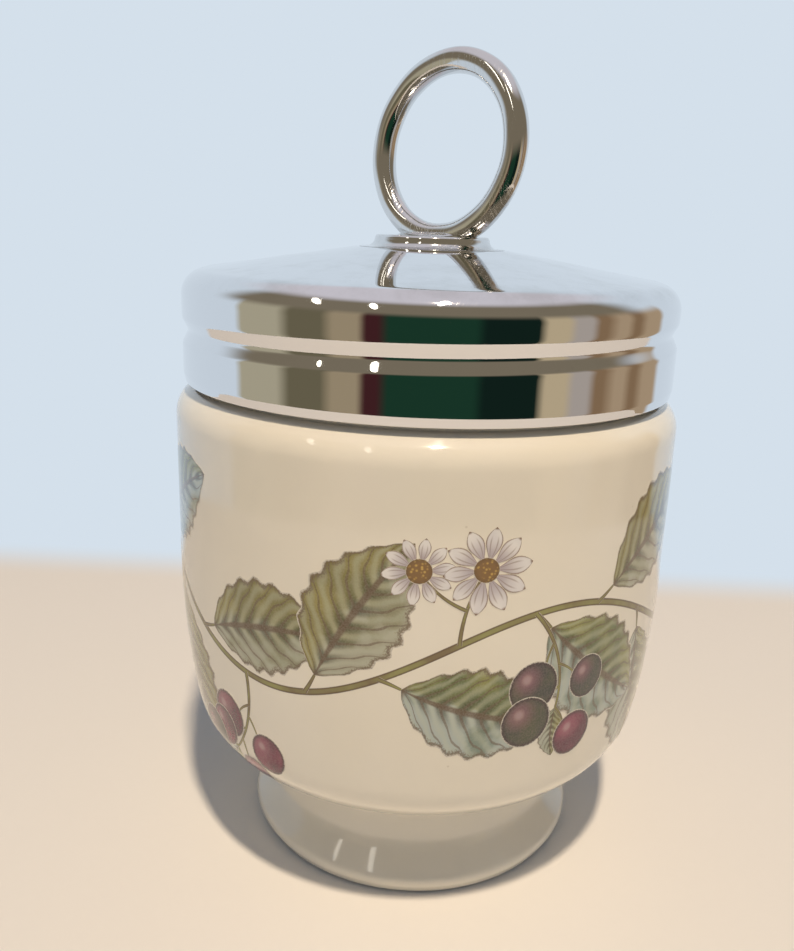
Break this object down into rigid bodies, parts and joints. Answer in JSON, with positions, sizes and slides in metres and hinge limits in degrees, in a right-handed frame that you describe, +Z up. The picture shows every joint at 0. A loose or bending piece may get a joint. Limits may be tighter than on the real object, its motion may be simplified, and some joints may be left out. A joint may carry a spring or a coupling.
{
  "type": "egg coddler",
  "caption": "Porcelain egg coddler: cylindrical cup on a flared foot with a floral print, closed by a screw-on polished metal lid with a lifting ring.",
  "frame": {"origin": "centre of the foot, on the surface that the cup stands on", "axes": "+Z up along the cup's axis and the screw's axis; +X along the plane of the lifting ring"},
  "size_m": [0.062, 0.062, 0.0989],
  "materials": {
    "porcelain": "glossy ivory glaze over fine porcelain, with a fired transfer print",
    "lid_metal": "mirror polish with fine wear",
    "ring_metal": "polished wire with small dents and scratches",
    "inner_metal": "plain turned steel"
  },
  "bodies": {
    "cup": {"porcelain_cup": "porcelain"},
    "washer": {"backing_washer": "inner_metal"},
    "lid": {"lid_shell": "lid_metal", "ring_boss": "ring_metal", "lifting_ring": "ring_metal", "ring_rivet": "inner_metal"}
  },
  "joints": [
    {"name": "lid_rise", "type": "slide", "parent": "cup", "child": "washer", "axis": [0, 0, 1], "range_m": [0, 0.03]},
    {"name": "lid_turn", "type": "hinge", "parent": "washer", "child": "lid", "pos_m": [0, 0, 0.0755], "axis": [0, 0, 1], "range_deg": [0, 3600]}
  ],
  "couplings": [
    {"joint": "lid_rise", "follows": "lid_turn", "m_per_rad": 0.00047746}
  ]
}
